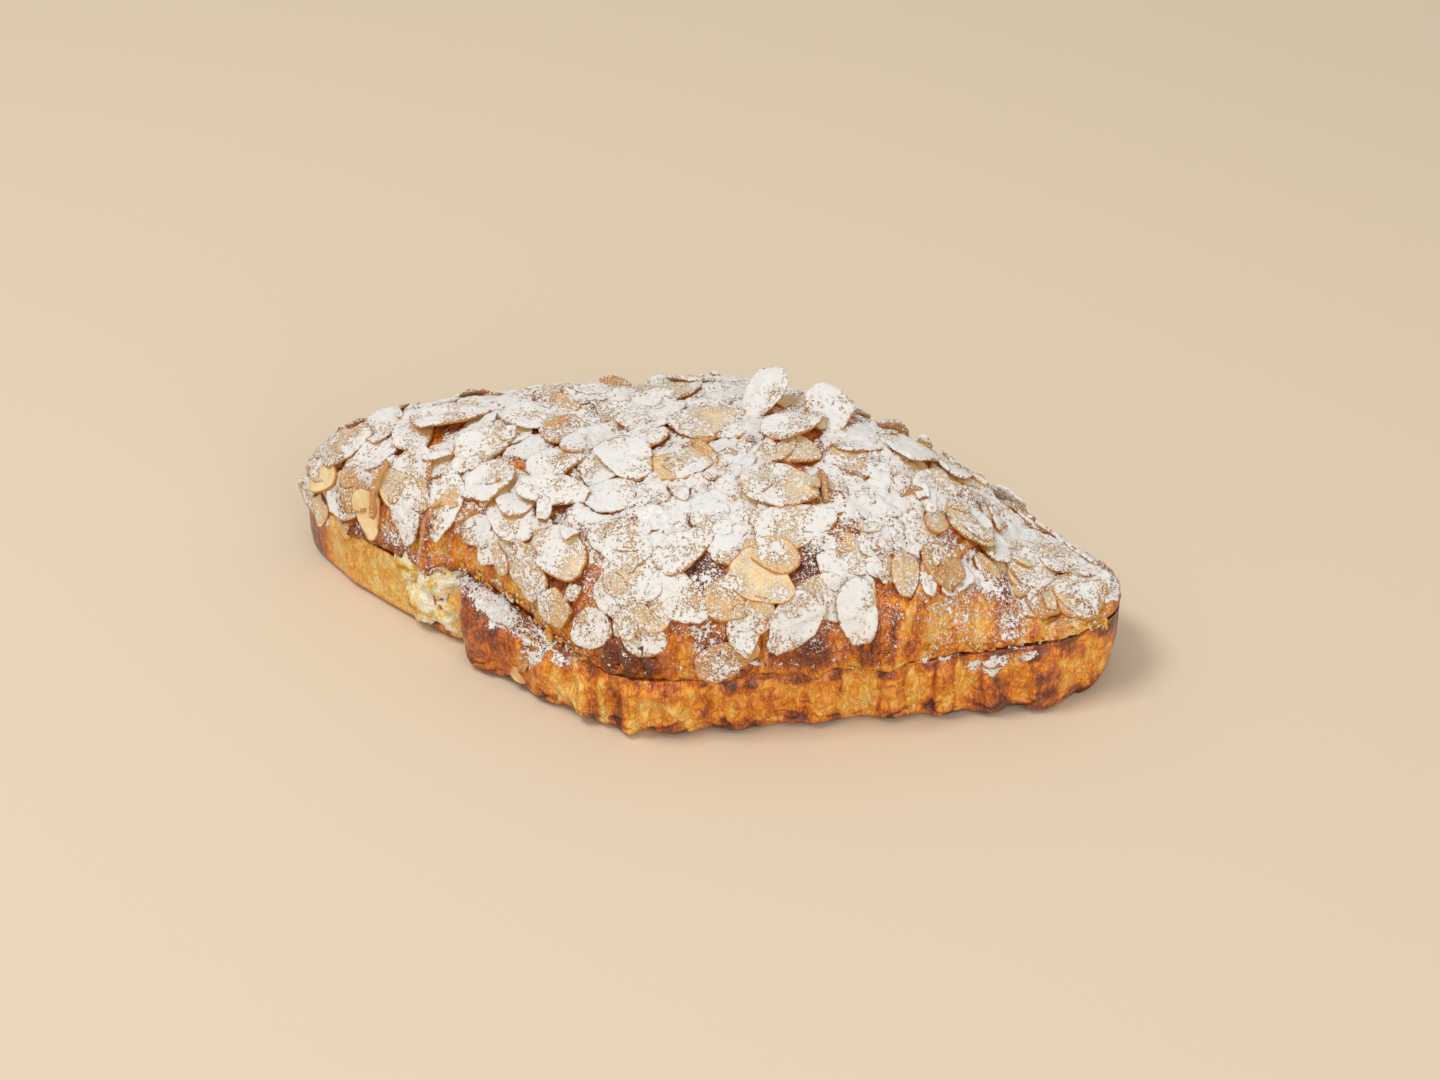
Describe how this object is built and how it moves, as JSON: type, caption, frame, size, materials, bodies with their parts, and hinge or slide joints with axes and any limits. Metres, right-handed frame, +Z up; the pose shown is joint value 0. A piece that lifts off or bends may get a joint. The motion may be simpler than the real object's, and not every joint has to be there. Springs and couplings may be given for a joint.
{
  "type": "almond croissant",
  "caption": "Baked croissant split in half, filled with almond cream and topped with sliced almonds and icing sugar.",
  "frame": {"origin": "middle of the flat underside, on the surface that the pastry rests on", "axes": "+X along the pastry, from its slimmer left end to its thicker right end; -Y is the side seen first; +Z up"},
  "size_m": [0.17, 0.0906, 0.0465],
  "materials": {
    "top_half": "flaky baked crust under toasted sliced almonds and icing sugar",
    "bottom_half": "golden brown laminated crust",
    "almond_cream": "crumbly baked almond cream"
  },
  "bodies": {
    "root": {"top_half": "top_half", "bottom_half": "bottom_half", "almond_cream": "almond_cream"}
  },
  "joints": []
}
